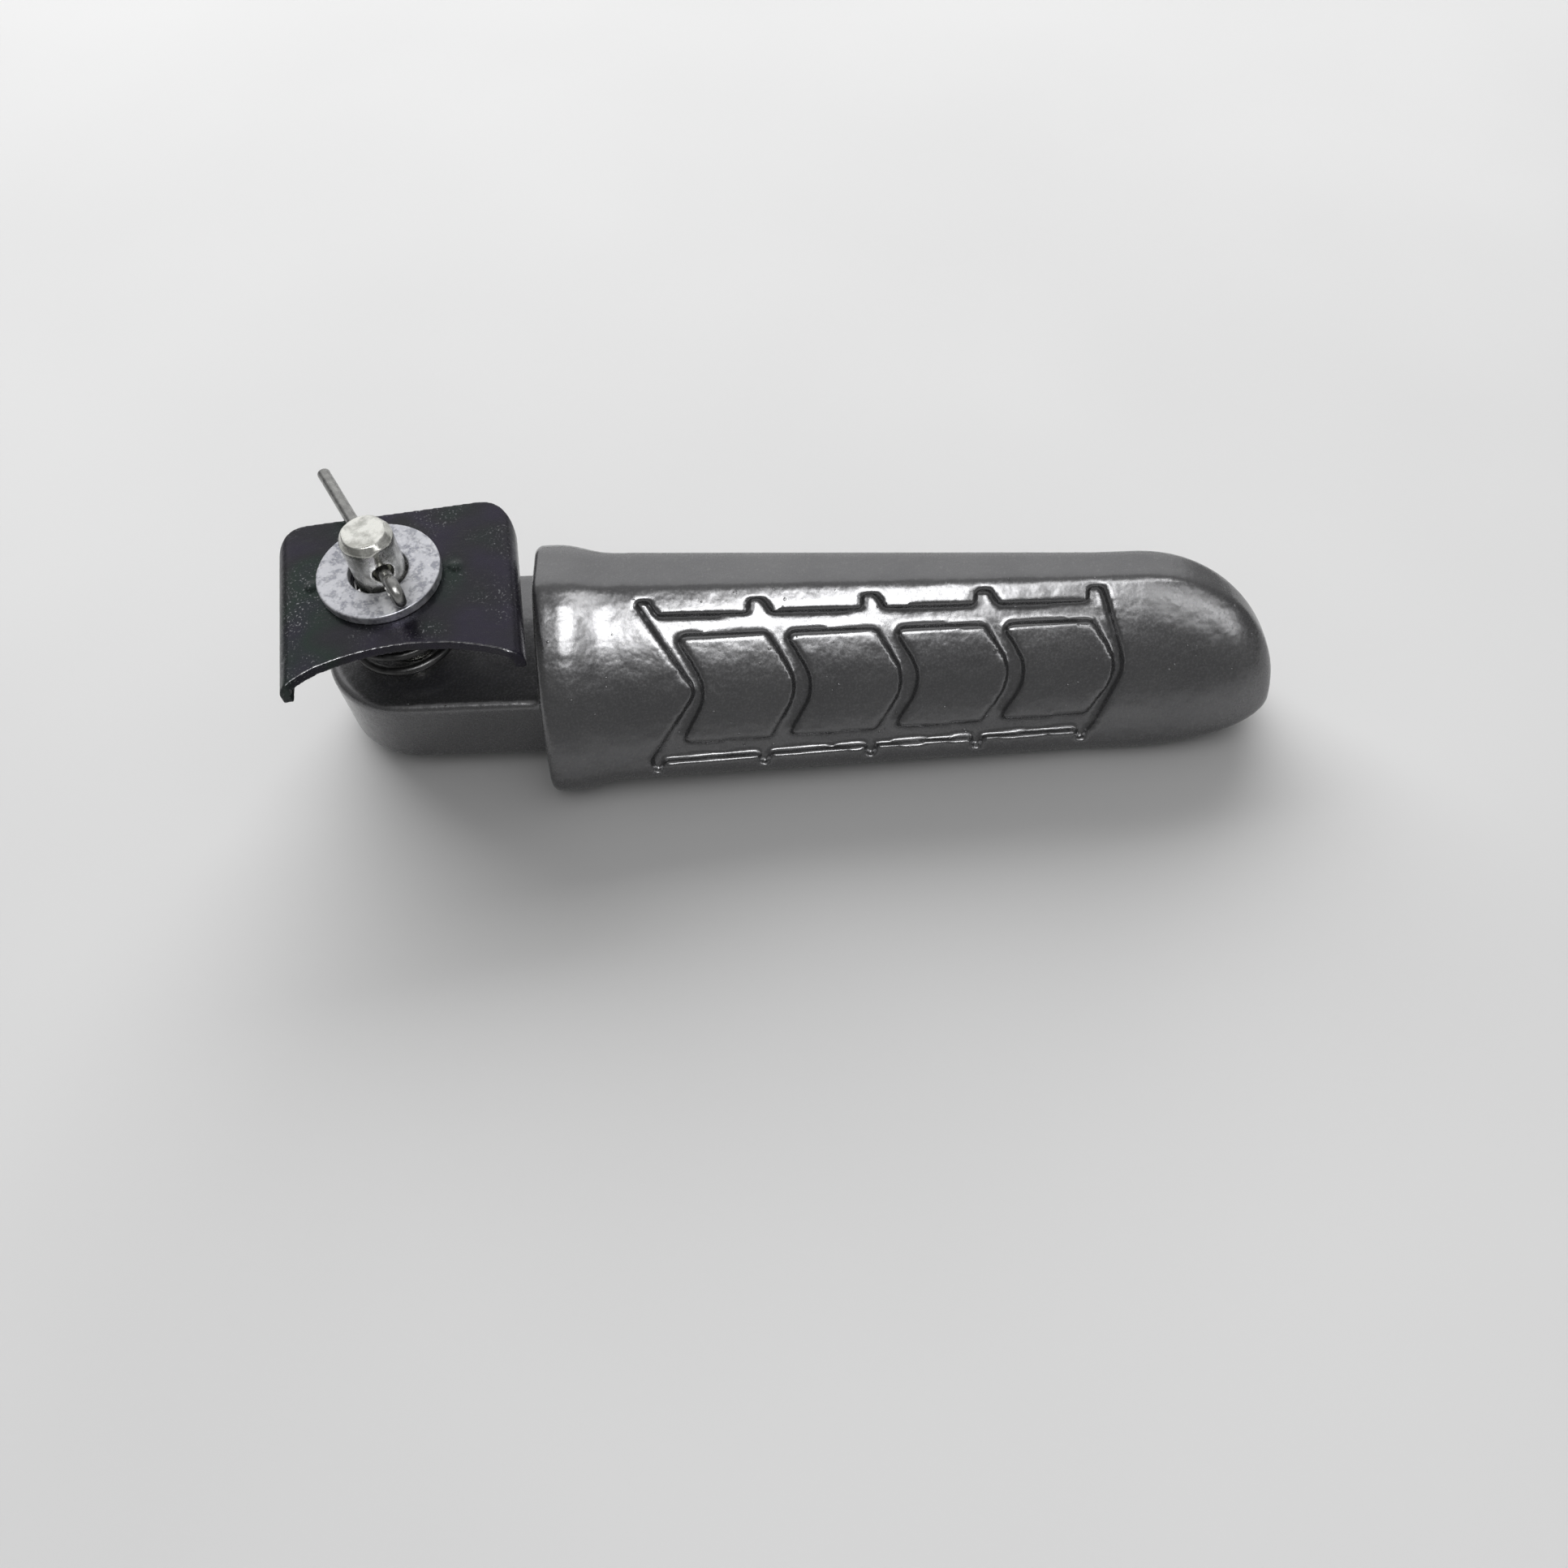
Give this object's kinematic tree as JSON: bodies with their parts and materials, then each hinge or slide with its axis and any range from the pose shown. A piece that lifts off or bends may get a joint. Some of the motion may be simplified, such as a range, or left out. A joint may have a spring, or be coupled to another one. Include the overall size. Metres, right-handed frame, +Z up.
{
  "type": "motorcycle rear footpeg",
  "caption": "Folding passenger footpeg: cast bar with a chevron tread and pierced tongue, on a clevis pin with a spring-loaded plate, washer and split cotter.",
  "frame": {"origin": "centre of the underside of the clevis pin's head, on the table the footpeg lies on", "axes": "+Z up the clevis pin, +X along the bar towards its nose, +Y away from the tread"},
  "size_m": [0.1611, 0.0405, 0.0426],
  "materials": {
    "cast_paint": "satin dark metallic paint over a casting",
    "zinc_steel": "bright zinc plate",
    "spangled_zinc": "mottled zinc plate",
    "black_plate": "black plating with a faint colour sheen",
    "spring_steel": "drawn spring wire"
  },
  "bodies": {
    "footpeg": {"peg_casting": "cast_paint", "coil_spring": "spring_steel"},
    "pin": {"clevis_pin": "zinc_steel", "cotter_pin": "zinc_steel"},
    "washer": {"flat_washer": "spangled_zinc"},
    "plate": {"swivel_plate": "black_plate"}
  },
  "joints": [
    {"name": "pin_spin", "type": "hinge", "parent": "footpeg", "child": "pin", "pos_m": [0, 0, 0.0093], "axis": [0, 0, 1], "continuous": true},
    {"name": "washer_press", "type": "slide", "parent": "footpeg", "child": "washer", "axis": [0, 0, 1], "range_m": [-0.004, 0], "stiffness_N_per_m": 800, "springref_m": 0.004, "deforming": ["coil_spring"]},
    {"name": "plate_swivel", "type": "hinge", "parent": "washer", "child": "plate", "pos_m": [0, 0, 0.0317], "axis": [0, 0, 1], "range_deg": [-90, 3]}
  ]
}
